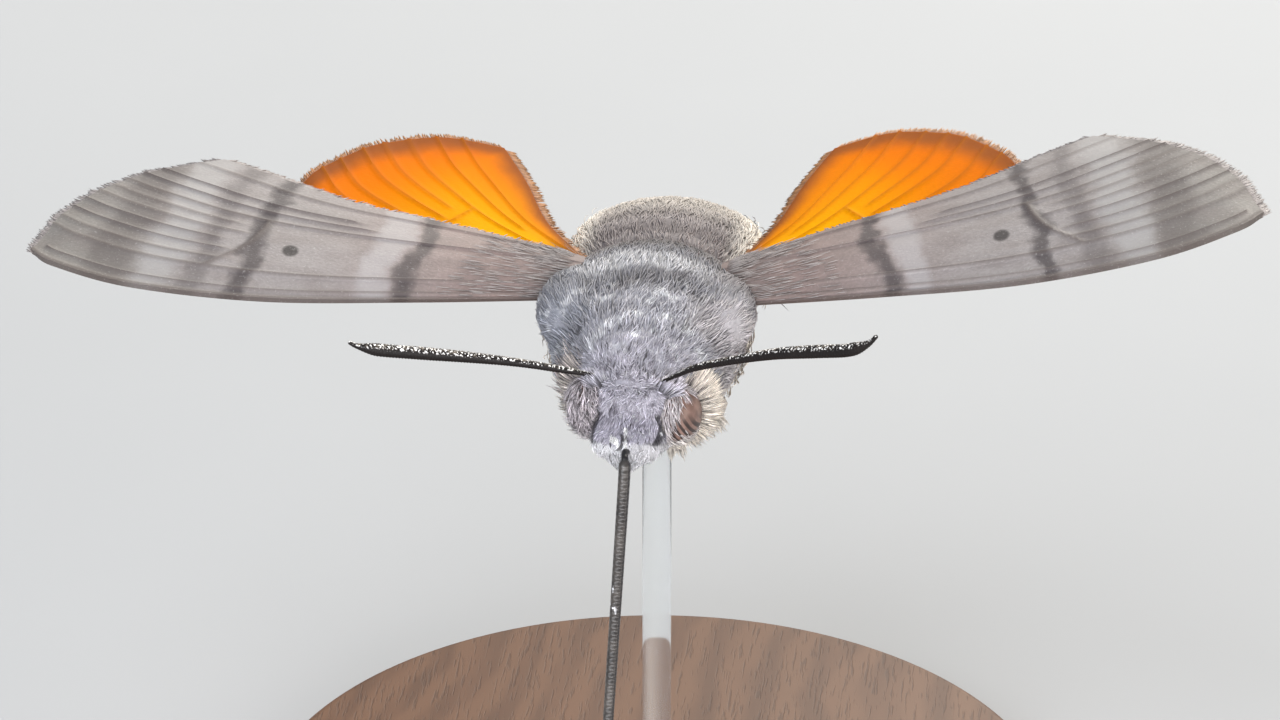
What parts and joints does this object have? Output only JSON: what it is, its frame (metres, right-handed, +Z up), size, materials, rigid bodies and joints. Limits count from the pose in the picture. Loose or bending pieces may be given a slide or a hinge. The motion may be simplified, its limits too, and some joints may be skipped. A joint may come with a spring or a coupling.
{
  "type": "hummingbird hawk moth model on a display stand",
  "caption": "Life-size hummingbird hawk moth held in its hover, wings spread and proboscis reaching down, carried by a clear rod on a round wooden base.",
  "frame": {"origin": "centre of the stand base's underside", "axes": "+Z up; the moth faces -Y; +X is the moth's own left, along the spread of the wings"},
  "size_m": [0.0489, 0.041, 0.0347],
  "materials": {
    "coat_grey": "dense grey scale coat, matte",
    "coat_pale": "cream-white scale coat, matte",
    "coat_dark": "blackish brown scale tufts, matte",
    "eye_brown": "brown with dark bands, glossy",
    "horn_black": "blackish brown, ridged, satin",
    "horn_glossy": "dark grey, smooth and shiny",
    "wing_grey": "grey-brown scales, satin",
    "wing_orange": "orange scales, satin",
    "walnut": "oiled walnut, satin",
    "acrylic": "clear, polished"
  },
  "bodies": {
    "root": {"thorax": "coat_grey", "collar": "coat_grey", "head": "coat_grey", "abdomen": "coat_grey", "tail_fan": "coat_dark", "eye_left": "eye_brown", "palp_left": "coat_pale", "antenna_left": "horn_black", "tegula_left": "coat_grey", "forewing_left": "wing_grey", "hindwing_left": "wing_orange", "leg_front_left": "coat_pale", "leg_middle_left": "coat_pale", "leg_hind_left": "coat_pale", "eye_right": "eye_brown", "palp_right": "coat_pale", "antenna_right": "horn_black", "tegula_right": "coat_grey", "forewing_right": "wing_grey", "hindwing_right": "wing_orange", "leg_front_right": "coat_pale", "leg_middle_right": "coat_pale", "leg_hind_right": "coat_pale", "proboscis_base": "horn_glossy", "proboscis_shaft": "horn_glossy", "proboscis_tip": "horn_glossy", "stand_base": "walnut", "stand_rod": "acrylic"}
  },
  "joints": []
}
